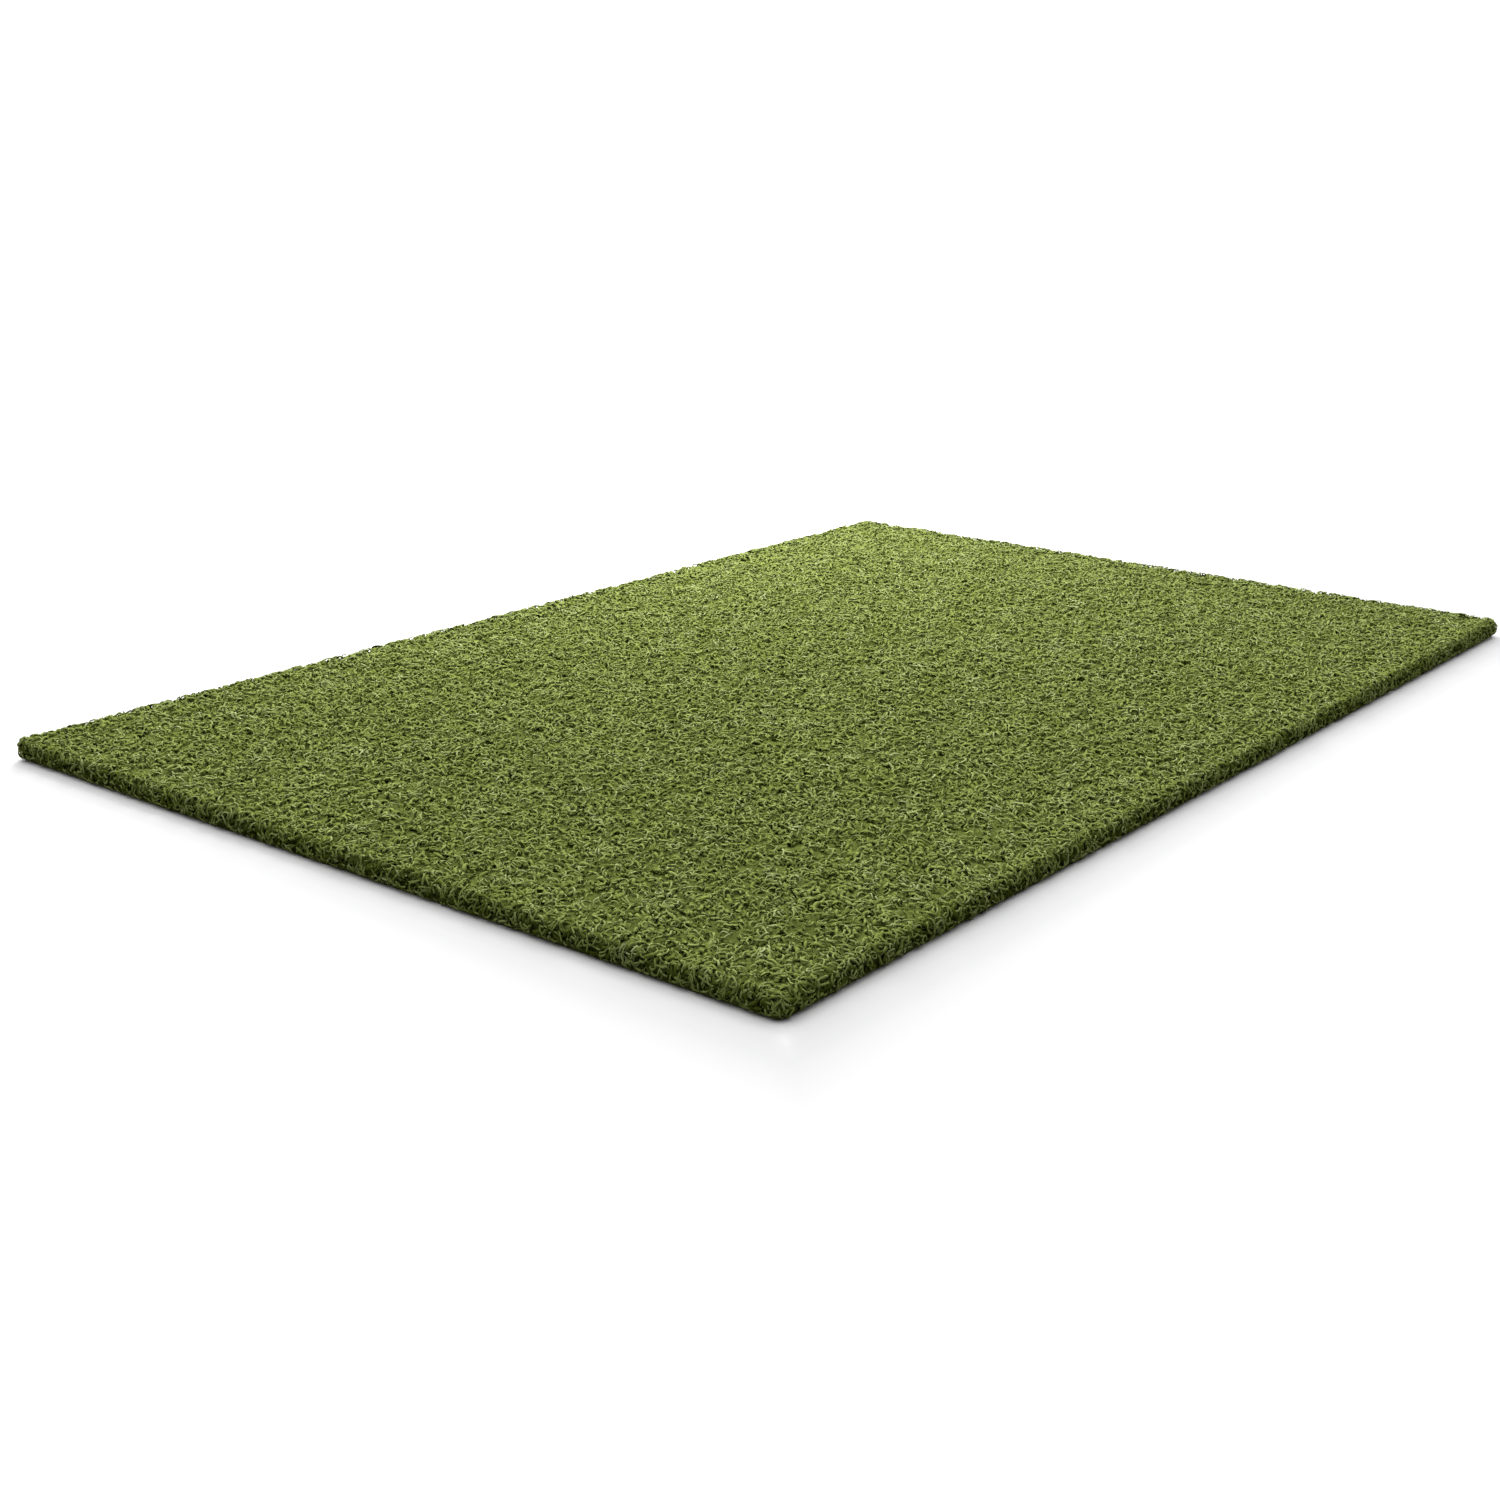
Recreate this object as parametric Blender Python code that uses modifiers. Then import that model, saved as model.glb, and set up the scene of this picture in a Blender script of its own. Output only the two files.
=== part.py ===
"""Golf hitting mat: curled nylon turf bonded on a thin foam and rubber laminate.

The mat lies flat on the floor. X runs along its short side, Y along its long side, +Z up,
and the origin is on the floor under the middle of the mat. From the floor up the pieces are
a non-slip skin, a foam pad, a film of glue, a woven backing cloth, the coat that locks the
tufts, the cloth that the yarn is tufted through, and the pile. All sizes are in metres.
"""

from collections import namedtuple

import bmesh
import bpy
from mathutils import Matrix

# Driving dimensions of the whole mat
MAT_WIDTH = 1.0
MAT_LENGTH = 1.5
MAT_HEIGHT = 0.025
MAT_CORNER_RADIUS = 0.015

# The pile: it covers the laminate like a cap and its edge yarns hang down over the sides
PILE_OVERHANG = 0.009
PILE_FLOOR_CLEARANCE = 0.001
CROWN_RADIUS = 0.010
HEM_RADIUS = 0.008

# Pieces that touch in the real mat are drawn this far apart
CONTACT_GAP = 0.0003

# Facets: per plan corner of the pile, per plan corner of a layer, and across a rounded rim
PILE_CORNER_SEGMENTS = 10
LAYER_CORNER_SEGMENTS = 6
CROWN_SEGMENTS = 8
HEM_SEGMENTS = 7
RIM_SEGMENTS = 3

Layer = namedtuple("Layer", "name thickness inset rim_radius colour roughness")

# The laminate under the pile, from the floor up. inset is how far a layer stops short of the
# laminate's cut edge, and rim_radius rounds its upper and lower rims.
LAMINATE = (
    Layer("nonslip_base", 0.0012, 0.0000, 0.0003, (0.010, 0.010, 0.011), 0.72),
    Layer("foam_pad", 0.0040, 0.0000, 0.0010, (0.018, 0.018, 0.019), 0.92),
    Layer("pad_adhesive", 0.0004, 0.0040, 0.0000, (0.520, 0.470, 0.340), 0.35),
    Layer("secondary_backing", 0.0006, 0.0010, 0.0000, (0.110, 0.110, 0.100), 0.85),
    Layer("tuft_lock_coating", 0.0008, 0.0005, 0.0002, (0.040, 0.041, 0.038), 0.55),
    Layer("primary_backing", 0.0007, 0.0000, 0.0000, (0.035, 0.050, 0.028), 0.80),
)

PILE_COLOUR = (0.147, 0.178, 0.045)
PILE_ROUGHNESS = 0.75

LAMINATE_WIDTH = MAT_WIDTH - 2 * PILE_OVERHANG
LAMINATE_LENGTH = MAT_LENGTH - 2 * PILE_OVERHANG
LAMINATE_CORNER_RADIUS = MAT_CORNER_RADIUS - PILE_OVERHANG
LAMINATE_HEIGHT = sum(layer.thickness + CONTACT_GAP for layer in LAMINATE) - CONTACT_GAP


def empty_scene():
    """Remove every object, so that only the mat is left."""
    for leftover in list(bpy.data.objects):
        bpy.data.objects.remove(leftover, do_unlink=True)


def new_collection(name):
    """A collection linked into the scene."""
    collection = bpy.data.collections.new(name)
    bpy.context.scene.collection.children.link(collection)
    return collection


def principled(name, colour, roughness):
    """A plain non-metal material."""
    material = bpy.data.materials.new(name)
    material.use_nodes = True
    shader = material.node_tree.nodes["Principled BSDF"]
    shader.inputs["Base Color"].default_value = (*colour, 1.0)
    shader.inputs["Roughness"].default_value = roughness
    shader.inputs["Metallic"].default_value = 0.0
    material.diffuse_color = (*colour, 1.0)
    return material


def block(name, collection, width, length, bottom, top):
    """An upright block centred on the Z axis, with vertex groups for its two rims."""
    mesh = bpy.data.meshes.new(name)
    bm = bmesh.new()
    stretch = Matrix.Diagonal((width, length, top - bottom, 1.0))
    lift = Matrix.Translation((0.0, 0.0, (bottom + top) / 2))
    bmesh.ops.create_cube(bm, size=1.0, matrix=lift @ stretch)
    bm.to_mesh(mesh)
    bm.free()
    mesh.shade_smooth()

    piece = bpy.data.objects.new(name, mesh)
    collection.objects.link(piece)
    middle = (bottom + top) / 2
    upper = [v.index for v in mesh.vertices if v.co.z > middle]
    lower = [v.index for v in mesh.vertices if v.co.z < middle]
    piece.vertex_groups.new(name="upper_rim").add(upper, 1.0, "REPLACE")
    piece.vertex_groups.new(name="lower_rim").add(lower, 1.0, "REPLACE")
    return piece


def mark_plan_corners(piece):
    """Give the four upright edges the weight that the plan corner bevel looks for."""
    mesh = piece.data
    weights = mesh.attributes.new("bevel_weight_edge", "FLOAT", "EDGE")
    for edge in mesh.edges:
        low, high = (mesh.vertices[i].co for i in edge.vertices)
        upright = abs(low.z - high.z) > abs(low.x - high.x) + abs(low.y - high.y)
        weights.data[edge.index].value = 1.0 if upright else 0.0


def round_plan_corners(piece, radius, segments):
    """Round the outline as seen from above."""
    mark_plan_corners(piece)
    bevel = piece.modifiers.new("plan_corners", "BEVEL")
    bevel.limit_method = "WEIGHT"
    bevel.width = radius
    bevel.segments = segments
    bevel.use_clamp_overlap = False


def round_rim(piece, rim, radius, segments):
    """Round the edge where a flat face meets the sides."""
    bevel = piece.modifiers.new(rim, "BEVEL")
    bevel.limit_method = "VGROUP"
    bevel.vertex_group = rim
    bevel.width = radius
    bevel.segments = segments
    bevel.use_clamp_overlap = False


def build_layer(layer, bottom, collection):
    """One flat layer of the laminate, resting at the given height."""
    width = LAMINATE_WIDTH - 2 * layer.inset
    length = LAMINATE_LENGTH - 2 * layer.inset
    piece = block(layer.name, collection, width, length, bottom, bottom + layer.thickness)
    round_plan_corners(piece, LAMINATE_CORNER_RADIUS - layer.inset, LAYER_CORNER_SEGMENTS)
    if layer.rim_radius > 0.0:
        round_rim(piece, "upper_rim", layer.rim_radius, RIM_SEGMENTS)
        round_rim(piece, "lower_rim", layer.rim_radius, RIM_SEGMENTS)
    piece.data.materials.append(principled(layer.name, layer.colour, layer.roughness))
    return piece


def build_laminate(collection):
    """Stack the layers from the floor up, a contact gap apart."""
    bottom = 0.0
    for layer in LAMINATE:
        build_layer(layer, bottom, collection)
        bottom += layer.thickness + CONTACT_GAP


def build_laminate_cutter(collection):
    """The space that the laminate takes inside the pile, open at the floor."""
    cutter = block(
        "laminate_space",
        collection,
        LAMINATE_WIDTH + 2 * CONTACT_GAP,
        LAMINATE_LENGTH + 2 * CONTACT_GAP,
        -MAT_HEIGHT,
        LAMINATE_HEIGHT + CONTACT_GAP,
    )
    round_plan_corners(cutter, LAMINATE_CORNER_RADIUS + CONTACT_GAP, LAYER_CORNER_SEGMENTS)
    cutter.hide_render = True
    cutter.display_type = "WIRE"
    return cutter


def build_pile(collection, cutter):
    """The curled pile as one soft cap with rolled edges, hollow where the laminate lies."""
    pile = block(
        "turf_pile", collection, MAT_WIDTH, MAT_LENGTH, PILE_FLOOR_CLEARANCE, MAT_HEIGHT
    )
    round_plan_corners(pile, MAT_CORNER_RADIUS, PILE_CORNER_SEGMENTS)
    round_rim(pile, "upper_rim", CROWN_RADIUS, CROWN_SEGMENTS)
    round_rim(pile, "lower_rim", HEM_RADIUS, HEM_SEGMENTS)
    recess = pile.modifiers.new("laminate_recess", "BOOLEAN")
    recess.operation = "DIFFERENCE"
    recess.solver = "EXACT"
    recess.object = cutter
    pile.data.materials.append(principled("turf_pile", PILE_COLOUR, PILE_ROUGHNESS))
    return pile


def build_mat():
    """Build the whole mat."""
    empty_scene()
    mat = new_collection("golf_hitting_mat")
    cutters = new_collection("cutters")
    build_laminate(mat)
    build_pile(mat, build_laminate_cutter(cutters))


build_mat()
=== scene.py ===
"""Looks of the golf hitting mat: curled nylon turf over a bonded laminate, on a pale floor.

The pile is a bed of matted lower yarn with tens of thousands of curled yarns over it. Each yarn
is a closed tube of triangular section. It curls at random and turns back where it would leave
the layer just under the pile's outer form, a slab with a rounded crown and a rounded hem.
Under the pile lie the cloths, the coat that locks the tufts, the glue, the foam and the studded
rubber skin. Lengths are in metres.
"""

import math

import bpy
import numpy as np
from mathutils import Matrix, Vector


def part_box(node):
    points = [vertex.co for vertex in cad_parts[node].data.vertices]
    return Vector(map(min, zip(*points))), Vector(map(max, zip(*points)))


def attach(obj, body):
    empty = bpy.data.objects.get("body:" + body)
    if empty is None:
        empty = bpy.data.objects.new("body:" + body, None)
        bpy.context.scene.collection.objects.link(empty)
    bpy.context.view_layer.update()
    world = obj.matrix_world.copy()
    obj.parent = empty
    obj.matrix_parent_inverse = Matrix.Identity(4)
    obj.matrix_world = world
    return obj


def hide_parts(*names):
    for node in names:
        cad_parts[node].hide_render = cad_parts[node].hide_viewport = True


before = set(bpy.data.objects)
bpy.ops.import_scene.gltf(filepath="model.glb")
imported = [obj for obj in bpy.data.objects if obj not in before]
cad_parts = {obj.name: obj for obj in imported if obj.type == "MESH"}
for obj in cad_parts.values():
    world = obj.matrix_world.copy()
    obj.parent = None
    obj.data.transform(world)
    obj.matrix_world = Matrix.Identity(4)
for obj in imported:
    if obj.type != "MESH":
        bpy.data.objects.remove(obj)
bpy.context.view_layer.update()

# --- The pile's outer form: the CAD solid's box and the radii that round it ---------------------
PILE_LOW, PILE_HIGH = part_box("turf_pile")
HALF = np.array([PILE_HIGH.x, PILE_HIGH.y])
TOP = PILE_HIGH.z
FOOT = PILE_LOW.z
CORNER = 0.015
CROWN = 0.010
HEM = 0.008

# --- Yarn -----------------------------------------------------------------------------------------
# The mass is broad mid-green yarn. The tips are the finer yarn that curls over it, lighter partly
# in its own tone and partly as painted highlight on the top of the pile.
# top and low are the depths between which a kind of yarn curls, and shade is the share of the rim's
# and the sides' painted shade that it takes.
MASS = {"count": 38_000, "steps": 6, "step": 0.0028, "width": 0.0036, "thick": 0.0014,
        "radius": (0.0038, 0.0080), "top": 0.0036, "low": 0.0068, "tone": (0.34, 0.60),
        "shade": 1.0, "strips": 10}
TIPS = {"count": 34_000, "steps": 8, "step": 0.0021, "width": 0.0019, "thick": 0.0010,
        "radius": (0.0030, 0.0060), "top": 0.0000, "low": 0.0068, "tone": (0.44, 0.94),
        "shade": 0.60, "strips": 10}
# Yarns on the rim against those on the top, for the same area, and the share of the hem's
# quarter round that they start on.
RIM_CROWDING = 1.45
HEM_SHARE = 0.85
# A yarn starts with this lean outwards, and its curl axis wanders by about this many radians a
# step.
OUTWARD = 0.4
WANDER = 0.3
# Past its start, a centre line stays HEADROOM under the dipped outer form, at most LAYER and
# SLACK together deep, and FLOOR_GAP over the floor. One that heads down within TURN_UP of that
# gap turns back up. Section corners can pass the outer form by about 1 mm, but those that would
# come closer to the floor than SOLE_GAP are pressed up to it. Yarns aren't kept out of each
# other, out of the bed or out of the laminate's sides.
LAYER = 0.0072
SLACK = 0.0025
HEADROOM = 0.0007
FLOOR_GAP = 0.0010
TURN_UP = 0.0015
SOLE_GAP = 0.0002
# The section at a yarn's end, against its full one, and how much widths vary.
TIP_TAPER = 0.55
WIDTH_RANGE = (0.8, 1.2)
# Tones lie mostly in the middle of a kind's range, and drift by TONE_DRIFT in patches.
TONE_SPREAD = (2.0, 2.4)
TONE_DRIFT = 0.06
TONE_PATCH = 0.045
SEED = 7
TONE_SEED = SEED + 5
DIP_SEED = SEED + 11
BED_SEED = SEED + 1
# Hollows between the tufts: sizes of the lumps, their mean depth, how much each size adds, the
# deepest, and the share of all that on the sides.
TUFT = 0.011
PATCH = 0.028
DIP_MEAN = 0.0008
DIP_BY_TUFT = 0.0008
DIP_BY_PATCH = 0.0004
DIP_MOST = 0.0035
DIP_ON_SIDES = 0.3
# Yarn darkens with depth in the layer, with its height over the floor from SHADE_FROM down by
# SHADE_DEPTH, and over the outer RIM_SHADE of the top. This is the mat's own light and shade
# painted into its colour: the real yarn has one dye.
SHADE_FROM = 0.0250
SHADE_DEPTH = 0.012
RIM_SHADE = 0.032
# Share of the form's way out in the yarns' shading normals. The rest is the tube's own normal.
SOFTNESS = 0.25
# Each yarn has a cell of the colour map of this name, with an empty edge.
COLOUR_MAP = "OFBake"
CELL_EDGE = 0.07

# --- The bed of matted lower yarn -----------------------------------------------------------------
# Its skin lies BED_INSET inside the outer form and ends BED_FOOT over the floor. It is lumpy by
# BED_LUMP at the size of the tufts and by BED_KNOT at BED_KNOT_SIZE. Round the laminate it
# leaves CONTACT_GAP.
BED_CELL = 0.004
BED_INSET = 0.0060
BED_FOOT = 0.0016
BED_LUMP = 0.0009
BED_KNOT = 0.0004
BED_KNOT_SIZE = 0.005
CONTACT_GAP = 0.0003

# --- The laminate: the mesh of its layers, and the studs under its rubber skin -------------------
# The layers' grid, and the size of the bumps on their tops.
LAYER_CELL = 0.014
WAVE_SIZE = 0.06
# Plan corner, rim radius and unevenness of each layer.
LAYERS = {
    "nonslip_base": (0.006, 0.0002, 0.0),
    "foam_pad": (0.006, 0.0010, 0.0001),
    "pad_adhesive": (0.002, 0.0001, 0.0),
    "secondary_backing": (0.005, 0.0002, 0.00003),
    "tuft_lock_coating": (0.0055, 0.0002, 0.0),
    "primary_backing": (0.006, 0.0002, 0.00003),
}
# A stud's lower face is the share "foot" of its radius, its chamfer the share "chamfer" of its
# height, and it reaches "root" into the skin. "margin" keeps studs off the skin's edges.
STUD = {"pitch": 0.015, "radius": 0.0045, "height": 0.0004, "sides": 10, "foot": 0.85,
        "chamfer": 0.4, "root": 0.0001, "margin": 0.012}

# --- The floor ------------------------------------------------------------------------------------
# Its base colour at each distance from the mat, for camera rays. It is a painted shadow round the
# mat, least deep right at the mat's edge and deepest 4 cm out, which adds to the cast shadow and
# keeps the rest white, so that shadow isn't the light's alone. Other rays see FLOOR_BOUNCE grey.
FLOOR_SHADOW_TONES = [(0.0, (0.690, 0.690, 0.695)), (0.010, (0.640, 0.640, 0.645)),
               (0.017, (0.555, 0.555, 0.560)), (0.025, (0.484, 0.484, 0.489)),
               (0.040, (0.457, 0.457, 0.462)), (0.5, (0.9, 0.9, 0.9))]
FLOOR_REACH = 200.0
FLOOR_BOUNCE = 0.32

# --- Light and camera: angles in degrees ----------------------------------------------------------
# The dome's strength rises from the first to the second number as directions near its way, over
# the range "from" of their cosine. The camera sees the strength "seen".
DOME = {"way": (-0.28, 0.20, 0.93), "from": (0.15, 1.0), "strength": (0.17, 2.2), "seen": 1.2}
SUN = {"angle": 60, "energy": 2.3, "way": (0.59, -0.72, -0.38)}
FILL = {"size": 1.0, "energy": 45.0, "place": (-1.0, 0.5, 1.0), "target": (-0.4, 0.2, 0.0)}
CAMERA = {"azimuth": 38.60, "elevation": 17.69, "roll": 0.357, "distance": 2.1384,
          "target": (0.0614, -0.2399, 0.0), "sensor": 36.0, "lens": 48.93}


# --- Vectors, noise and the pile's form -----------------------------------------------------------
def unit(vectors):
    """Vectors scaled to length 1."""
    return vectors / np.maximum(np.linalg.norm(vectors, axis=-1, keepdims=True), 1e-12)


def turned(vectors, axes, angles):
    """Vectors turned about unit axes that are square to them."""
    return vectors * np.cos(angles)[:, None] + np.cross(axes, vectors) * np.sin(angles)[:, None]


def lumps(points, size, rng, waves=24):
    """Smooth noise, mostly between -1 and 1, whose bumps are about size across."""
    total = np.zeros(len(points))
    for _ in range(waves):
        way = unit(rng.normal(size=3)) * (2 * math.pi / (size * rng.uniform(0.75, 1.8)))
        total += np.cos(points @ way + rng.uniform(0, 2 * math.pi))
    return total / math.sqrt(waves)


def outer_form(points):
    """How far points lie outside the pile's outer form, and the way out, for each point."""
    plan = points[:, :2]
    past = np.abs(plan) - (HALF - CORNER)
    beyond = np.maximum(past, 0.0)
    reach = np.linalg.norm(beyond, axis=1)
    outside = reach + np.minimum(past.max(1), 0.0) - CORNER
    nearest_side = np.where(past[:, :1] > past[:, 1:], [[1.0, 0.0]], [[0.0, 1.0]])
    sideways = np.where(reach[:, None] > 0, unit(beyond), nearest_side) * np.sign(plan)
    # Points down to 1 mm under the crown's start count as the crown's, and lower ones as the hem's.
    above = points[:, 2] - (TOP - CROWN)
    below = (FOOT + HEM) - points[:, 2]
    upper = above > -0.001
    radius = np.where(upper, CROWN, HEM)
    across, rise = outside + radius, np.where(upper, above, below)
    rounded = (across > 0) & (rise > 0)
    flat_on = upper & (rise > across)
    height = np.where(rounded, np.hypot(across, rise),
                      np.where(flat_on, rise, across)) - radius
    tilt = np.where(rounded, np.arctan2(rise, across), np.where(flat_on, math.pi / 2, 0.0))
    tilt = np.where(upper, tilt, -tilt)
    way = np.column_stack([sideways * np.cos(tilt)[:, None], np.sin(tilt)])
    return height, way


def outline(share):
    """Points on the mat's rounded outline and the way out there, for shares of its length."""
    straight = 2 * (HALF - CORNER)
    arc = CORNER * math.pi / 2
    lengths = np.array([straight[1], arc, straight[0], arc] * 2)
    ends = np.cumsum(lengths)
    along = share * ends[-1]
    part = np.searchsorted(ends, along)
    local = along - (ends - lengths)[part]
    turn = (part // 2) * math.pi / 2 + np.where(part % 2 == 1, local / CORNER, 0.0)
    way = np.column_stack([np.cos(turn), np.sin(turn)])
    corners = (HALF - CORNER) * np.array([[1, -1], [1, 1], [-1, 1], [-1, -1]])
    ahead = np.column_stack([-way[:, 1], way[:, 0]])
    middle = np.where((part % 2 == 0)[:, None], corners[part // 2] + ahead * local[:, None],
                      corners[(part // 2 + 1) % 4])
    return middle + way * CORNER, way


RIM_SIDE = TOP - CROWN - HEM - FOOT
RIM_LENGTH = (CROWN + HEM_SHARE * HEM) * math.pi / 2 + RIM_SIDE


def rim_profile(down):
    """Reach inwards from the outline, and height, at a distance down the rounded rim."""
    over = np.clip(math.pi / 2 - down / CROWN, 0.0, math.pi / 2)
    drop = np.clip(down - CROWN * math.pi / 2, 0.0, RIM_SIDE)
    under = np.clip((down - CROWN * math.pi / 2 - RIM_SIDE) / HEM, 0.0, math.pi / 2)
    reach = CROWN * (1 - np.cos(over)) + HEM * (1 - np.cos(under))
    return reach, TOP - CROWN - drop + CROWN * np.sin(over) - HEM * np.sin(under)


def spread_points(count, rng):
    """Points spread over the form, evenly on its top and closer together on its rim."""
    flat = 4 * (HALF - CROWN).prod()
    around = 4 * HALF.sum() - (8 - 2 * math.pi) * CORNER
    on_top = int(count * flat / (flat + RIM_CROWDING * around * RIM_LENGTH))
    top = np.column_stack([rng.uniform(-1, 1, (on_top, 2)) * (HALF - CROWN),
                           np.full(on_top, TOP)])
    edge, way = outline(rng.uniform(0, 1, count - on_top))
    reach, height = rim_profile(RIM_LENGTH * rng.uniform(0, 1, count - on_top))
    rim = np.column_stack([edge - way * reach[:, None], height])
    points = np.concatenate([top, rim])
    return points, outer_form(points)[1]


def dips(points, way):
    """How far the tuft tops lie under the outer form: soft lumps with hollows between them."""
    rng = np.random.default_rng(DIP_SEED)
    fine, broad = lumps(points, TUFT, rng), lumps(points, PATCH, rng)
    depth = np.clip(DIP_MEAN + DIP_BY_TUFT * fine + DIP_BY_PATCH * broad, 0.0, DIP_MOST)
    return depth * (DIP_ON_SIDES + (1 - DIP_ON_SIDES) * np.clip(way[:, 2], 0.0, 1.0))


# --- Yarns as meshes ------------------------------------------------------------------------------
def grow(points, out, kind, rng):
    """The yarns' centre lines and curl axes. A yarn about to leave its layer curls back in."""
    count = len(points)
    heading = unit(rng.normal(size=(count, 3)) + OUTWARD * out)
    axis = unit(np.cross(heading, rng.normal(size=(count, 3))))
    radius = rng.uniform(*kind["radius"], count)
    twist = rng.normal(0, WANDER, count)
    line, axes = [points], [axis]
    for _ in range(kind["steps"]):
        height, way = outer_form(points)
        height = height + dips(points, way)
        rise = (heading * way).sum(1)
        room = radius * (1 - np.sqrt(np.maximum(1 - rise ** 2, 0.0)))
        too_high = (rise > 0) & (height + room > -kind["top"])
        too_low = (rise < 0) & (height - room < -kind["low"])
        too_low |= (heading[:, 2] < 0) & (points[:, 2] < FLOOR_GAP + TURN_UP)
        inward = np.where(too_high[:, None], -way, way)
        back = unit(np.cross(heading, inward))
        axis = np.where((too_high | too_low)[:, None], back, axis)
        heading = turned(heading, axis, kind["step"] / radius)
        axis = turned(axis, heading, twist)
        points = points + heading * kind["step"]
        height, way = outer_form(points)
        height = height + dips(points, way)
        points = points - way * np.maximum(height + HEADROOM, 0.0)[:, None]
        points = points + way * np.maximum(-height - LAYER - SLACK, 0.0)[:, None]
        points[:, 2] = np.maximum(points[:, 2], FLOOR_GAP)
        axis = unit(axis - heading * (axis * heading).sum(1, keepdims=True))
        line.append(points)
        axes.append(axis)
    return np.stack(line, 1), np.stack(axes, 1)


def tubes(line, axes, width, thick):
    """Corner points of a flat triangular section at each point of each line."""
    ahead = unit(np.gradient(line, axis=1))
    side = unit(axes - ahead * (axes * ahead).sum(-1, keepdims=True))
    lift = np.cross(ahead, side)
    taper = np.ones(line.shape[1])
    taper[-1] = TIP_TAPER
    wide = side * (width[:, None, None] * taper[:, None] / 2)
    flat = lift * (thick / 2 * taper[:, None])
    corners = np.stack([line + wide - flat, line + flat, line - wide - flat], 2)
    corners[..., 2] = np.maximum(corners[..., 2], SOLE_GAP)
    return corners


def yarns(kind, rng):
    """One kind of yarn over the whole mat: section corners, tones and root places."""
    count = kind["count"]
    surface, out = spread_points(count, rng)
    depth = rng.uniform(kind["top"], kind["low"], count)
    start = surface - out * (depth + dips(surface, out))[:, None]
    line, axes = grow(start, out, kind, rng)
    width = kind["width"] * rng.uniform(*WIDTH_RANGE, count)
    low, high = kind["tone"]
    tone = low + (high - low) * rng.beta(*TONE_SPREAD, count)
    tone = tone + TONE_DRIFT * lumps(start, TONE_PATCH, np.random.default_rng(TONE_SEED))
    return tubes(line, axes, width, kind["thick"]), np.clip(tone, 0, 1), start


def link(piece):
    """Put an object in the scene."""
    bpy.context.scene.collection.objects.link(piece)
    return piece


def add_mesh(name, points, loops, totals, material):
    """A smooth mesh object from points, corner numbers and the number of corners per face."""
    mesh = bpy.data.meshes.new(name)
    mesh.vertices.add(len(points))
    mesh.vertices.foreach_set("co", points.astype(np.float32).ravel())
    mesh.loops.add(len(loops))
    mesh.loops.foreach_set("vertex_index", loops.astype(np.int32))
    mesh.polygons.add(len(totals))
    starts = np.concatenate([[0], np.cumsum(totals)[:-1]])
    mesh.polygons.foreach_set("loop_start", starts.astype(np.int32))
    mesh.polygons.foreach_set("loop_total", totals.astype(np.int32))
    mesh.update(calc_edges=True)
    mesh.shade_smooth()
    mesh.materials.append(material)
    return link(bpy.data.objects.new(name, mesh))


def yarn_cells(count, rings):
    """Places on the colour map: a cell for each yarn, with its length across and its sides up."""
    along = np.repeat(np.arange(rings - 1), 3) / (rings - 1)
    side = np.tile(np.arange(3), rings - 1) / 3
    ahead, up = along + 1 / (rings - 1), side + 1 / 3
    quads = np.stack([along, side, along, up, ahead, up, ahead, side], 1).reshape(-1, 2)
    # The two end caps take slivers at the ends of the cell.
    root_cap = [[0.0, 0.7], [0.03, 0.4], [0.0, 0.1]]
    tip_cap = [[1.0, 0.1], [0.97, 0.4], [1.0, 0.7]]
    cell = CELL_EDGE + (1 - 2 * CELL_EDGE) * np.concatenate([quads, root_cap, tip_cap])
    columns = math.ceil(math.sqrt(count))
    number = np.arange(count)
    corner = np.column_stack([number % columns, number // columns])
    return (corner[:, None, :] + cell[None, :, :]).reshape(-1, 2) / columns


def yarn_strip(name, corners, tone, shade, material):
    """One strip of yarns as one mesh of many closed tubes. Each point carries its yarn's tone and
    how far painted shade darkens it, as the attributes tone and depth."""
    count, rings = corners.shape[:2]
    first = (np.arange(count) * rings * 3)[:, None, None]
    ring = first + (np.arange(rings - 1) * 3)[None, :, None]
    here = np.arange(3)[None, None, :]
    after = (here + 1) % 3
    quads = np.stack([ring + here, ring + after, ring + 3 + after, ring + 3 + here], -1)
    root_cap = first[:, 0] + np.array([2, 1, 0])
    tip_cap = first[:, 0] + (rings - 1) * 3 + np.array([0, 1, 2])
    loops = np.concatenate([quads.reshape(count, -1), root_cap, tip_cap], 1)
    totals = np.tile(np.r_[np.full((rings - 1) * 3, 4), 3, 3], count)
    spots = corners.reshape(-1, 3)
    piece = add_mesh(name, spots, loops.ravel(), totals, material)
    cells = piece.data.uv_layers.new(name=COLOUR_MAP)
    cells.uv.foreach_set("vector", yarn_cells(count, rings).astype(np.float32).ravel())
    height, way = outer_form(spots)
    normals = np.empty(spots.size, dtype=np.float32)
    piece.data.vertex_normals.foreach_get("vector", normals)
    normals = unit((1 - SOFTNESS) * normals.reshape(-1, 3) + SOFTNESS * way)
    piece.data.normals_split_custom_set_from_vertices(normals.tolist())
    # Painted shade: darker deeper in the layer, lower down the sides and towards the rim.
    inside = (HALF - np.abs(spots[:, :2])).min(1)
    edge = np.maximum(1 - inside / RIM_SHADE, (SHADE_FROM - spots[:, 2]) / SHADE_DEPTH)
    depth = np.maximum(-height / LAYER, shade * np.clip(edge, 0, 1))
    for label, data in (("tone", np.repeat(tone, rings * 3)), ("depth", np.clip(depth, 0, 1))):
        values = piece.data.attributes.new(label, "FLOAT", "POINT")
        values.data.foreach_set("value", data.astype(np.float32))
    return piece


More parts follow.
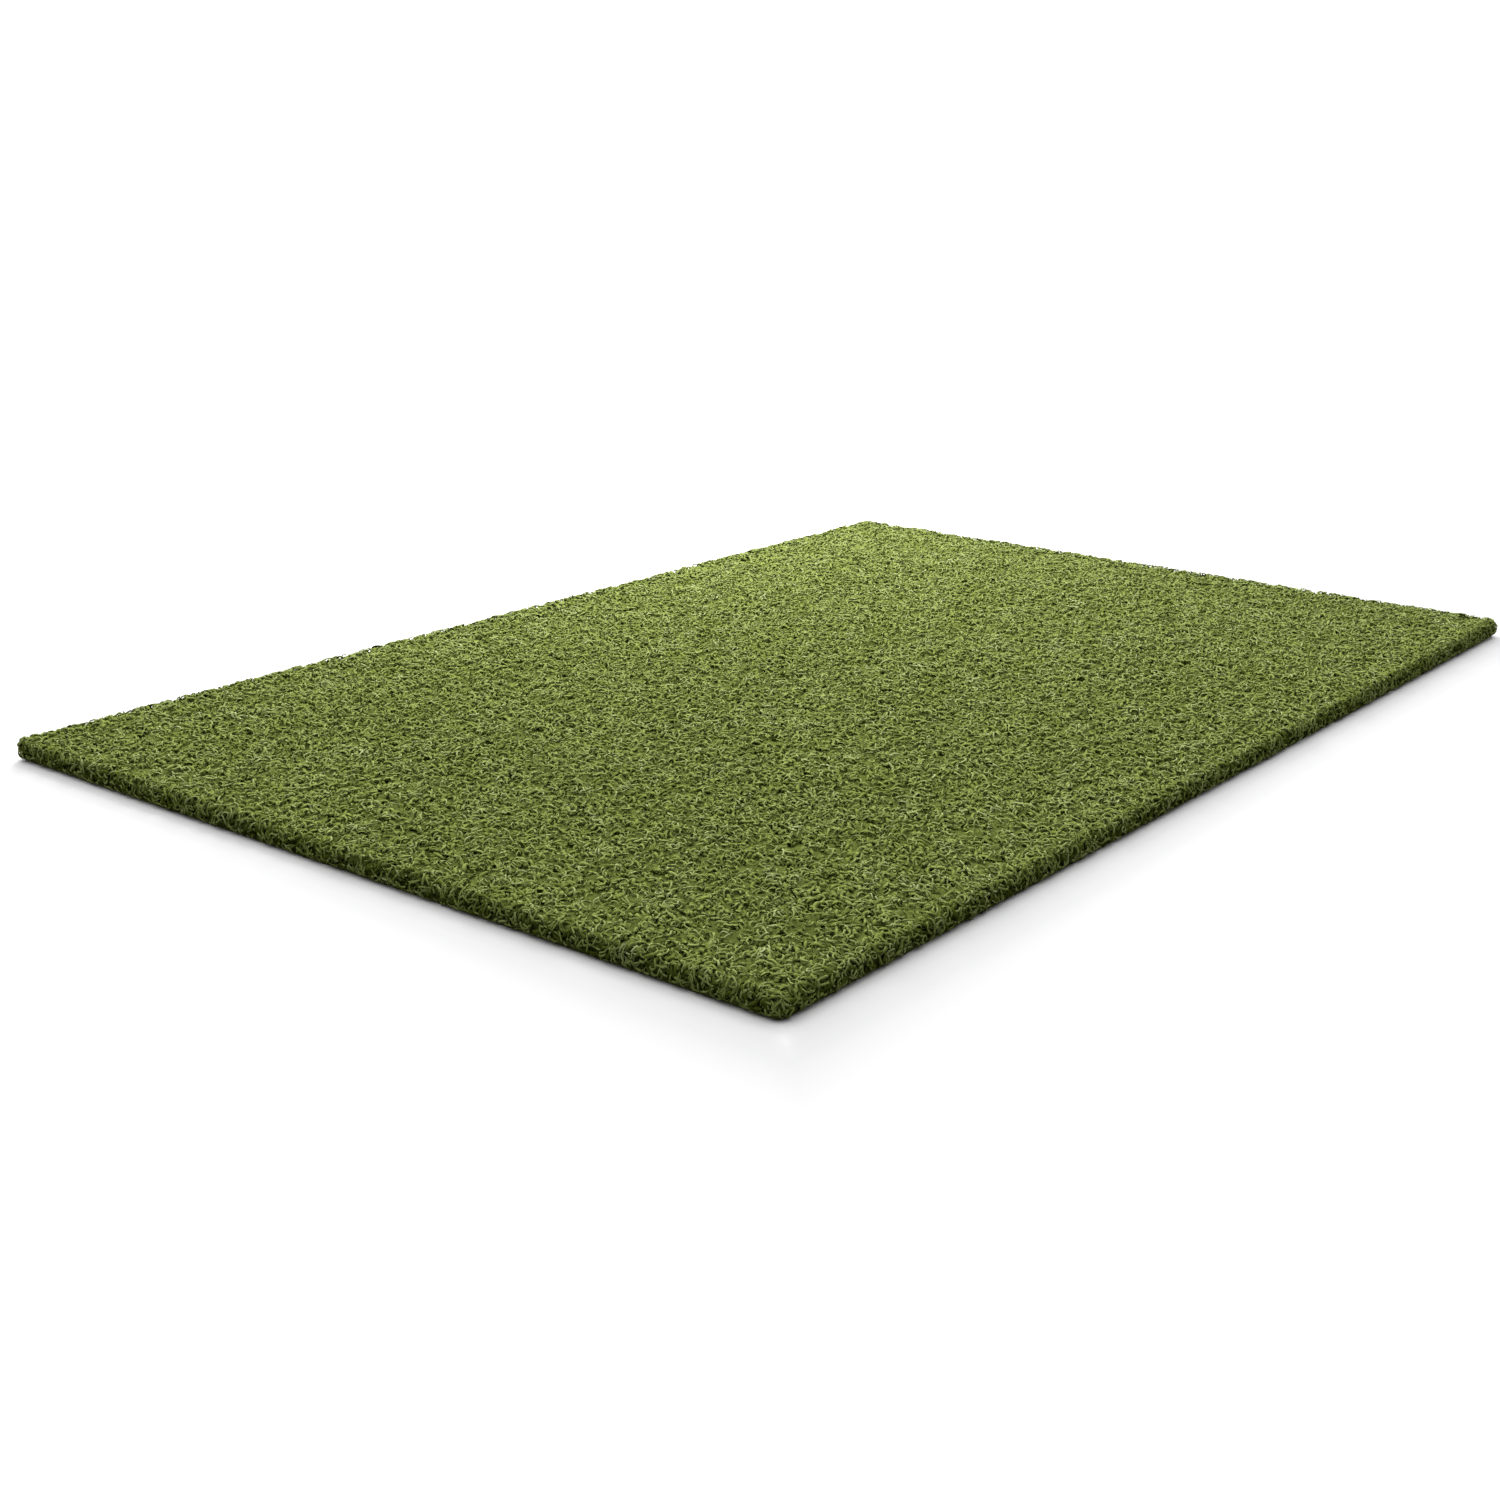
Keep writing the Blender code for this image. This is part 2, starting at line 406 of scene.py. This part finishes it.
# --- Grids that fold over a rounded rim -----------------------------------------------------------
def folded_grid(half, corner, rim, cell):
    """A plan grid whose outer rings follow rim: distances along it, reaches and heights. Its
    corners come out round. Gives the points and the grid's shape."""
    inner = half - corner
    lengths, reaches, heights = rim
    sides = []
    for extent in inner:
        middle = np.linspace(-extent, extent, 1 + round(2 * extent / cell))
        sides.append(np.concatenate([-extent - lengths[:0:-1], middle, extent + lengths[1:]]))
    u, v = (grid.ravel() for grid in np.meshgrid(*sides, indexing="ij"))
    flat = np.column_stack([u, v])
    base = np.clip(flat, -inner, inner)
    ring = np.abs(flat - base).max(1)
    plan = base + unit(flat - base) * np.interp(ring, lengths, reaches)[:, None]
    return (np.column_stack([plan, np.interp(ring, lengths, heights)]),
            (len(sides[0]), len(sides[1])))


def grid_quads(shape):
    """Corner numbers of a grid's faces, anticlockwise seen from above."""
    numbers = np.arange(shape[0] * shape[1]).reshape(shape)
    return np.stack([numbers[:-1, :-1], numbers[1:, :-1], numbers[1:, 1:], numbers[:-1, 1:]],
                    -1).reshape(-1, 4)


def border(shape):
    """Numbers of a grid's border points, anticlockwise seen from above."""
    numbers = np.arange(shape[0] * shape[1]).reshape(shape)
    return np.concatenate([numbers[:-1, 0], numbers[-1, :-1], numbers[:0:-1, -1],
                           numbers[0, :0:-1]])


def pile_bed(material):
    """The matted lower yarn: a lumpy cap under the curls, hollow where the laminate lies."""
    rng = np.random.default_rng(BED_SEED)
    crown = CROWN - BED_INSET
    down = np.linspace(0, math.pi / 2, 5)
    flat = CORNER - CROWN
    drop = TOP - CROWN - BED_FOOT
    steps = np.array([0.25, 0.5, 0.75, 1.0])
    lengths = np.r_[0.0, flat + crown * down, flat + crown * math.pi / 2 + drop * steps]
    reaches = np.r_[0.0, flat + crown * np.sin(down), np.full(4, flat + crown)]
    heights = TOP - BED_INSET - np.r_[0.0, crown * (1 - np.cos(down)), crown + drop * steps]
    points, shape = folded_grid(HALF - BED_INSET, CORNER - BED_INSET,
                                (lengths, reaches, heights), BED_CELL)
    out = outer_form(points)[1]
    bumps = BED_LUMP * lumps(points, TUFT, rng) + BED_KNOT * lumps(points, BED_KNOT_SIZE, rng)
    points = points + out * (bumps * np.clip(out[:, 2], 0.25, 1.0))[:, None]
    rim = border(shape)
    laminate_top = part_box("primary_backing")[1]
    wall = laminate_top.x + CONTACT_GAP
    sideways = unit(out[rim] * [1, 1, 0])
    foot = points[rim] - sideways * (HALF[0] - BED_INSET - wall)
    lid = foot * [1, 1, 0] + [0, 0, laminate_top.z + CONTACT_GAP]
    count, n = len(points), len(rim)
    here = np.arange(n)
    ahead = np.roll(here, -1)
    sole = np.stack([rim, count + here, count + ahead, rim[ahead]], -1)
    inside = np.stack([count + here, count + n + here, count + n + ahead, count + ahead], -1)
    quads = np.concatenate([grid_quads(shape), sole, inside])
    loops = np.concatenate([quads.ravel(), count + n + here[::-1]])
    totals = np.r_[np.full(len(quads), 4), n]
    return add_mesh("pile_bed", np.concatenate([points, foot, lid]), loops, totals, material)


def slab(name, material, lift=0.0):
    """The CAD box of a layer as a closed slab with rounded rims, and a top that is uneven where
    the layer has a wave. Its underside is raised by lift."""
    corner, rim, wave = LAYERS[name]
    low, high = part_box(name)
    tall = (high.z - low.z - lift) / 2
    down = np.linspace(0, math.pi / 2, 4)
    flat = corner - rim
    lengths = np.r_[0.0, flat + rim * down, flat + rim * math.pi / 2 + tall - rim]
    reaches = np.r_[0.0, flat + rim * np.sin(down), corner]
    drops = np.r_[0.0, rim * (1 - np.cos(down)), tall]
    over, shape = folded_grid(np.array([high.x, high.y]), corner, (lengths, reaches, -drops),
                              LAYER_CELL)
    under = over * [1, 1, -1] + [0, 0, low.z + lift]
    # The flat top only sinks, by up to three waves, so the layer stays inside its CAD box.
    bumps = wave * lumps(over, WAVE_SIZE, np.random.default_rng(SEED + len(name)))
    bumps = np.where(over[:, 2] > -1e-6, np.clip(bumps - 1.5 * wave, -3 * wave, 0.0), 0.0)
    over[:, 2] += high.z + bumps
    count, rim_numbers = len(over), border(shape)
    shared = np.arange(2 * count)
    shared[count + rim_numbers] = rim_numbers
    quads = shared[np.concatenate([grid_quads(shape), count + grid_quads(shape)[:, ::-1]])]
    used, loops = np.unique(quads.ravel(), return_inverse=True)
    points = np.concatenate([over, under])[used]
    return add_mesh(f"{name}_layer", points, loops.ravel(), np.full(len(quads), 4), material)


def studs(low, high, material):
    """The grip studs under the rubber skin, as one mesh of closed discs with chamfered rims."""
    sides, radius = STUD["sides"], STUD["radius"]
    turn = np.arange(sides) * 2 * math.pi / sides
    ring = np.column_stack([np.cos(turn), np.sin(turn), np.zeros(sides)]) * radius
    disc = np.concatenate([ring * STUD["foot"], ring + [0, 0, STUD["chamfer"] * STUD["height"]],
                           ring + [0, 0, STUD["height"] + STUD["root"]]])
    here = np.arange(sides)
    after = np.roll(here, -1)
    walls = [np.stack([here + k, after + k, after + k + sides, here + k + sides], -1)
             for k in (0, sides)]
    faces = np.concatenate([np.concatenate(walls).ravel(), here[::-1], here + 2 * sides])
    totals = np.r_[np.full(2 * sides, 4), sides, sides]
    places = []
    for extent in (high.x, high.y):
        number = int((2 * extent - STUD["margin"]) / STUD["pitch"])
        places.append((np.arange(number) - (number - 1) / 2) * STUD["pitch"])
    x, y = (grid.ravel() for grid in np.meshgrid(*places, indexing="ij"))
    centres = np.column_stack([x, y, np.full(len(x), low.z)])
    points = (centres[:, None, :] + disc[None, :, :]).reshape(-1, 3)
    loops = (np.arange(len(x))[:, None] * len(disc) + faces[None, :]).ravel()
    return add_mesh("nonslip_studs", points, loops, np.tile(totals, len(x)), material)


# --- Materials ------------------------------------------------------------------------------------
def new_material(name):
    """A node material: itself, its tree and its Principled shader."""
    material = bpy.data.materials.new(name)
    material.use_nodes = True
    tree = material.node_tree
    return material, tree, tree.nodes["Principled BSDF"]


def node(tree, kind, **settings):
    """A node with some of its inputs and properties set."""
    made = tree.nodes.new(kind)
    for key, value in settings.items():
        if key in made.inputs:
            made.inputs[key].default_value = value
        else:
            setattr(made, key, value)
    return made


def ramp(tree, source, stops):
    """The colour of a ramp fed by source, with (place, colour) stops."""
    made = tree.nodes.new("ShaderNodeValToRGB")
    band = made.color_ramp
    while len(band.elements) < len(stops):
        band.elements.new(0.5)
    for element, (place, colour) in zip(band.elements, stops):
        element.position = place
        element.color = (*colour, 1.0)
    tree.links.new(source, made.inputs["Fac"])
    return made.outputs["Color"]


def times(tree, first, second):
    """Two colours multiplied."""
    mix = node(tree, "ShaderNodeMix", data_type="RGBA", blend_type="MULTIPLY")
    mix.inputs["Factor"].default_value = 1.0
    tree.links.new(first, mix.inputs[6])
    tree.links.new(second, mix.inputs[7])
    return mix.outputs[2]


def emboss(tree, shader, height, strength, depth):
    """Bump from a height into the shader's normal."""
    bump = node(tree, "ShaderNodeBump", Strength=strength, Distance=depth)
    tree.links.new(height, bump.inputs["Height"])
    tree.links.new(bump.outputs["Normal"], shader.inputs["Normal"])


def yarn_material():
    """Olive nylon yarn: each yarn has its own tone, and painted shade darkens it down in the pile,
    low on the sides and near the rim.
    """
    material, tree, shader = new_material("turf_yarn")
    tone = node(tree, "ShaderNodeAttribute", attribute_name="tone").outputs["Fac"]
    # The attribute depth holds painted shade, which the ramp shade turns into darker colour.
    depth = node(tree, "ShaderNodeAttribute", attribute_name="depth").outputs["Fac"]
    # The light upper stops, which mostly the tips reach, are partly the yarn's own tone and partly
    # painted highlight.
    colour = ramp(tree, tone, [
        (0.0, (0.134, 0.166, 0.033)),
        (0.4, (0.174, 0.212, 0.053)),
        (0.75, (0.220, 0.260, 0.088)),
        (1.0, (0.330, 0.368, 0.180)),
    ])
    shade = ramp(tree, depth, [
        (0.1, (1.0, 1.0, 1.0)),
        (0.6, (0.76, 0.78, 0.68)),
        (1.0, (0.26, 0.28, 0.14)),
    ])
    tree.links.new(times(tree, colour, shade), shader.inputs["Base Color"])
    shader.inputs["Roughness"].default_value = 0.45
    shader.inputs["Specular IOR Level"].default_value = 0.0
    return material


def bed_material():
    """The matted lower yarn seen between the curls: its own yarn colour, darkened by painted shade
    between the curls.
    """
    material, tree, shader = new_material("turf_bed")
    place = node(tree, "ShaderNodeTexCoord").outputs["Object"]
    noise = node(tree, "ShaderNodeTexNoise", Scale=420.0, Detail=3.0, Distortion=1.5)
    tree.links.new(place, noise.inputs["Vector"])
    # Painted shade: the bed is coloured much darker than the yarn above it.
    colour = ramp(tree, noise.outputs["Fac"], [
        (0.35, (0.050, 0.063, 0.014)),
        (0.65, (0.104, 0.131, 0.030)),
    ])
    tree.links.new(colour, shader.inputs["Base Color"])
    shader.inputs["Roughness"].default_value = 0.9
    shader.inputs["Specular IOR Level"].default_value = 0.0
    emboss(tree, shader, noise.outputs["Fac"], 0.6, 0.001)
    return material


def grained_material(name, dark, light, scale, roughness, strength, depth):
    """A plastic, rubber or foam: a fine grain that mottles its colour and roughens its skin."""
    material, tree, shader = new_material(name)
    place = node(tree, "ShaderNodeTexCoord").outputs["Object"]
    noise = node(tree, "ShaderNodeTexNoise", Scale=scale, Detail=5.0, Roughness=0.6)
    tree.links.new(place, noise.inputs["Vector"])
    colour = ramp(tree, noise.outputs["Fac"], [(0.35, dark), (0.65, light)])
    tree.links.new(colour, shader.inputs["Base Color"])
    shader.inputs["Roughness"].default_value = roughness
    emboss(tree, shader, noise.outputs["Fac"], strength, depth)
    return material


def woven_material(name, dark, light, pitch):
    """A plain weave of tapes: bands along X and along Y that rise and dip over each other."""
    material, tree, shader = new_material(name)
    place = node(tree, "ShaderNodeTexCoord").outputs["Object"]
    heights = []
    # A wave texture of scale s repeats every 2 pi / (20 s).
    for direction in ("X", "Y"):
        wave = node(tree, "ShaderNodeTexWave", bands_direction=direction, Distortion=0.4,
                    Scale=2 * math.pi / (20 * pitch))
        tree.links.new(place, wave.inputs["Vector"])
        heights.append(wave.outputs["Fac"])
    cross = node(tree, "ShaderNodeMath", operation="MULTIPLY")
    tree.links.new(heights[0], cross.inputs[0])
    tree.links.new(heights[1], cross.inputs[1])
    colour = ramp(tree, cross.outputs[0], [(0.05, dark), (0.6, light)])
    tree.links.new(colour, shader.inputs["Base Color"])
    shader.inputs["Roughness"].default_value = 0.7
    emboss(tree, shader, cross.outputs[0], 0.8, 0.0004)
    return material


# --- The pieces -----------------------------------------------------------------------------------
def mount(piece, cad_node):
    """Let a piece ride the mat's one body in place of a CAD node."""
    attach(piece, "root")
    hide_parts(cad_node)
    return piece


def build_pile():
    """The bed and all the yarn strips, in place of the pile's plain solid."""
    mount(pile_bed(bed_material()), "turf_pile")
    rng = np.random.default_rng(SEED)
    material = yarn_material()
    for label, kind in (("mass", MASS), ("tips", TIPS)):
        corners, tone, start = yarns(kind, rng)
        order = np.argsort(start[:, 0], kind="stable")
        for number, members in enumerate(np.array_split(order, kind["strips"]), 1):
            piece = yarn_strip(f"turf_{label}_{number:02d}", corners[members], tone[members],
                               kind["shade"], material)
            mount(piece, "turf_pile")


def build_laminate():
    """The layers under the pile, from the floor up."""
    rubber = grained_material("nonslip_rubber", dark=(0.008, 0.008, 0.009),
                              light=(0.016, 0.016, 0.017), scale=900.0, roughness=0.72,
                              strength=0.35, depth=0.0003)
    mount(slab("nonslip_base", rubber, lift=STUD["height"]), "nonslip_base")
    mount(studs(*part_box("nonslip_base"), rubber), "nonslip_base")
    foam = grained_material("pad_foam", dark=(0.012, 0.012, 0.013), light=(0.028, 0.028, 0.029),
                            scale=1400.0, roughness=0.92, strength=0.8, depth=0.0006)
    pad = mount(slab("foam_pad", foam), "foam_pad")
    glue = grained_material("adhesive_film", dark=(0.46, 0.41, 0.29), light=(0.58, 0.53, 0.39),
                            scale=160.0, roughness=0.35, strength=0.5, depth=0.0002)
    film = mount(slab("pad_adhesive", glue), "pad_adhesive")
    scrim = woven_material("secondary_cloth", dark=(0.060, 0.060, 0.054),
                           light=(0.150, 0.150, 0.138), pitch=0.0040)
    lower = mount(slab("secondary_backing", scrim), "secondary_backing")
    latex = grained_material("lock_coating", dark=(0.030, 0.031, 0.029),
                             light=(0.055, 0.056, 0.052), scale=220.0, roughness=0.55,
                             strength=0.5, depth=0.0003)
    coat = mount(slab("tuft_lock_coating", latex), "tuft_lock_coating")
    tapes = woven_material("primary_cloth", dark=(0.018, 0.028, 0.014),
                           light=(0.050, 0.070, 0.038), pitch=0.0025)
    upper = mount(slab("primary_backing", tapes), "primary_backing")


# --- Floor, lights and camera ---------------------------------------------------------------------
def distance_from_mat(tree):
    """A node output: how far a place lies outside the mat's rectangle, along X or along Y."""
    place = node(tree, "ShaderNodeTexCoord").outputs["Object"]
    size = node(tree, "ShaderNodeVectorMath", operation="ABSOLUTE")
    tree.links.new(place, size.inputs[0])
    past = node(tree, "ShaderNodeVectorMath", operation="SUBTRACT")
    past.inputs[1].default_value = (HALF[0], HALF[1], 0.0)
    tree.links.new(size.outputs["Vector"], past.inputs[0])
    parts = node(tree, "ShaderNodeSeparateXYZ")
    tree.links.new(past.outputs["Vector"], parts.inputs[0])
    away = node(tree, "ShaderNodeMath", operation="MAXIMUM")
    tree.links.new(parts.outputs["X"], away.inputs[0])
    tree.links.new(parts.outputs["Y"], away.inputs[1])
    return away.outputs[0]


def build_floor():
    """A wide pale floor, whose base colour holds a painted shadow that changes with the distance
    from the mat. Rays other than the camera's see a duller floor, which throws back less light."""
    reach = FLOOR_REACH
    mesh = bpy.data.meshes.new("floor")
    mesh.from_pydata([(-reach, -reach, 0), (reach, -reach, 0), (reach, reach, 0),
                      (-reach, reach, 0)], [], [(0, 1, 2, 3)])
    material, tree, shader = new_material("floor")
    # Painted shadow: the base colour darkens near the mat.
    pale = ramp(tree, distance_from_mat(tree), FLOOR_SHADOW_TONES)
    tree.links.new(pale, shader.inputs["Base Color"])
    shader.inputs["Roughness"].default_value = 1.0
    shader.inputs["Specular IOR Level"].default_value = 0.0
    dull = node(tree, "ShaderNodeBsdfDiffuse", Color=(*[FLOOR_BOUNCE] * 3, 1.0))
    path = node(tree, "ShaderNodeLightPath")
    mix = node(tree, "ShaderNodeMixShader")
    tree.links.new(path.outputs["Is Camera Ray"], mix.inputs[0])
    tree.links.new(dull.outputs[0], mix.inputs[1])
    tree.links.new(shader.outputs[0], mix.inputs[2])
    tree.links.new(mix.outputs[0], tree.nodes["Material Output"].inputs["Surface"])
    mesh.materials.append(material)
    link(bpy.data.objects.new("floor", mesh))


def build_world():
    """A white studio dome, brightest above the mat and a little behind it."""
    world = bpy.data.worlds.new("studio")
    world.use_nodes = True
    tree = world.node_tree
    spot = node(tree, "ShaderNodeTexCoord").outputs["Generated"]
    facing = node(tree, "ShaderNodeVectorMath", operation="DOT_PRODUCT")
    facing.inputs[1].default_value = Vector(DOME["way"]).normalized()
    tree.links.new(spot, facing.inputs[0])
    dome = node(tree, "ShaderNodeMapRange", interpolation_type="SMOOTHSTEP")
    for side, (low, high) in (("From", DOME["from"]), ("To", DOME["strength"])):
        dome.inputs[f"{side} Min"].default_value = low
        dome.inputs[f"{side} Max"].default_value = high
    tree.links.new(facing.outputs["Value"], dome.inputs["Value"])
    seen = node(tree, "ShaderNodeLightPath").outputs["Is Camera Ray"]
    choice = node(tree, "ShaderNodeMix", data_type="FLOAT")
    tree.links.new(seen, choice.inputs[0])
    tree.links.new(dome.outputs["Result"], choice.inputs[2])
    choice.inputs[3].default_value = DOME["seen"]
    background = tree.nodes["Background"]
    background.inputs["Color"].default_value = (1.0, 1.0, 1.0, 1.0)
    tree.links.new(choice.outputs[0], background.inputs["Strength"])
    bpy.context.scene.world = world


def aimed(lamp, way):
    """Put a lamp in the scene, shining along way."""
    lamp.rotation_euler = Vector(way).to_track_quat("-Z", "Y").to_euler()
    return link(lamp)


def build_lights():
    """The dome, a wide soft sun from behind, and a weak fill over the far left edge."""
    build_world()
    data = bpy.data.lights.new("sun", "SUN")
    data.angle = math.radians(SUN["angle"])
    data.energy = SUN["energy"]
    aimed(bpy.data.objects.new("sun", data), SUN["way"])
    data = bpy.data.lights.new("fill", "AREA")
    data.shape = "SQUARE"
    data.size = FILL["size"]
    data.energy = FILL["energy"]
    fill = bpy.data.objects.new("fill", data)
    fill.location = FILL["place"]
    aimed(fill, Vector(FILL["target"]) - fill.location)
    bpy.context.scene.view_settings.view_transform = "Standard"


def build_camera():
    """A camera at the photograph's viewing angle."""
    data = bpy.data.cameras.new("camera")
    data.sensor_width = CAMERA["sensor"]
    data.lens = CAMERA["lens"]
    camera = link(bpy.data.objects.new("camera", data))
    azimuth, elevation, roll = (math.radians(CAMERA[key])
                                for key in ("azimuth", "elevation", "roll"))
    back = Vector((math.sin(azimuth) * math.cos(elevation),
                   -math.cos(azimuth) * math.cos(elevation), math.sin(elevation)))
    right = Vector((0, 0, 1)).cross(back).normalized()
    up = back.cross(right)
    tilted_right = right * math.cos(roll) + up * math.sin(roll)
    tilted_up = up * math.cos(roll) - right * math.sin(roll)
    turn = Matrix((tilted_right, tilted_up, back)).transposed()
    place = Vector(CAMERA["target"]) + back * CAMERA["distance"]
    camera.matrix_world = Matrix.Translation(place) @ turn.to_4x4()
    bpy.context.scene.camera = camera


build_pile()
build_laminate()
build_floor()
build_lights()
build_camera()
